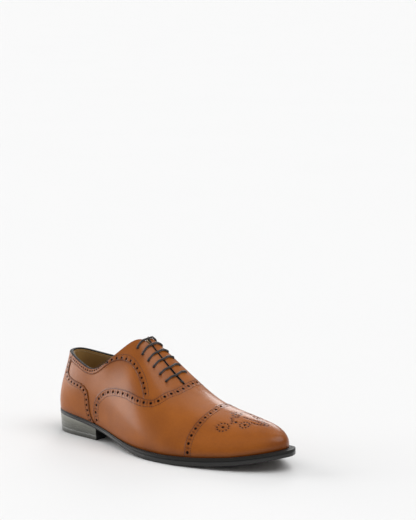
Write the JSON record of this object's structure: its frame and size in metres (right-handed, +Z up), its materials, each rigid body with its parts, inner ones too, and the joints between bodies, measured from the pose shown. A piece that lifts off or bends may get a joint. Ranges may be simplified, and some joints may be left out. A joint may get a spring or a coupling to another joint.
{
  "type": "oxford shoe",
  "caption": "Right-foot cap-toe oxford shoe in tan leather with punched seams, closed lacing, welted black sole and stacked heel.",
  "frame": {"origin": "on the floor, under the middle of the shoe's box", "axes": "+X from heel to toe, -Y towards the outer side of the foot, +Z up"},
  "size_m": [0.301, 0.1067, 0.1105],
  "materials": {
    "tan_leather": "burnished calf with a light shine",
    "binding_leather": "dark folded edge",
    "lining_leather": "unpolished",
    "stiffener_board": "matt",
    "insole_leather": "unpolished vegetable-tanned",
    "eyelet_metal": "dull",
    "lace_cotton": "waxed round braid",
    "aglet_plastic": "glossy",
    "cork": "granular",
    "shank_steel": "plain",
    "nail_brass": "dull",
    "top_piece_rubber": "matt with fine texture",
    "welt_leather": "waxed black",
    "sole_leather": "waxed black edge"
  },
  "bodies": {
    "shoe": {"vamp": "tan_leather", "quarter_lateral": "tan_leather", "quarter_medial": "tan_leather", "facing_lateral": "tan_leather", "facing_medial": "tan_leather", "heel_counter": "tan_leather", "topline_binding": "binding_leather", "vamp_lining": "lining_leather", "quarter_lining_lateral": "lining_leather", "quarter_lining_medial": "lining_leather", "heel_stiffener": "stiffener_board", "eyelets_lateral": "eyelet_metal", "eyelets_medial": "eyelet_metal", "lace": "lace_cotton", "aglets": "aglet_plastic", "heel_pad": "lining_leather", "insole_rear": "insole_leather", "cork_filler_rear": "cork", "shank": "shank_steel", "welt_rear": "welt_leather", "outsole_rear": "sole_leather", "heel_wedge": "sole_leather", "heel_lift_upper": "sole_leather", "heel_lift_lower": "sole_leather", "top_piece": "top_piece_rubber", "heel_nails": "nail_brass"},
    "forefoot": {"toe_cap": "tan_leather", "toe_puff": "stiffener_board", "insole_front": "insole_leather", "cork_filler_front": "cork", "welt_front": "welt_leather", "outsole_front": "sole_leather"},
    "tongue": {"tongue": "tan_leather"}
  },
  "joints": [
    {"name": "forefoot_flex", "type": "hinge", "parent": "shoe", "child": "forefoot", "pos_m": [0.0322, 0.0061, 0.0089], "axis": [0, -1, 0], "range_deg": [0, 30], "stiffness_Nm_per_rad": 1.5, "deforming": ["vamp", "vamp_lining"]},
    {"name": "tongue_hinge", "type": "hinge", "parent": "shoe", "child": "tongue", "pos_m": [0.0194, 0.0061, 0.0533], "axis": [0, 1, 0], "range_deg": [-12, 0], "stiffness_Nm_per_rad": 0.05}
  ]
}
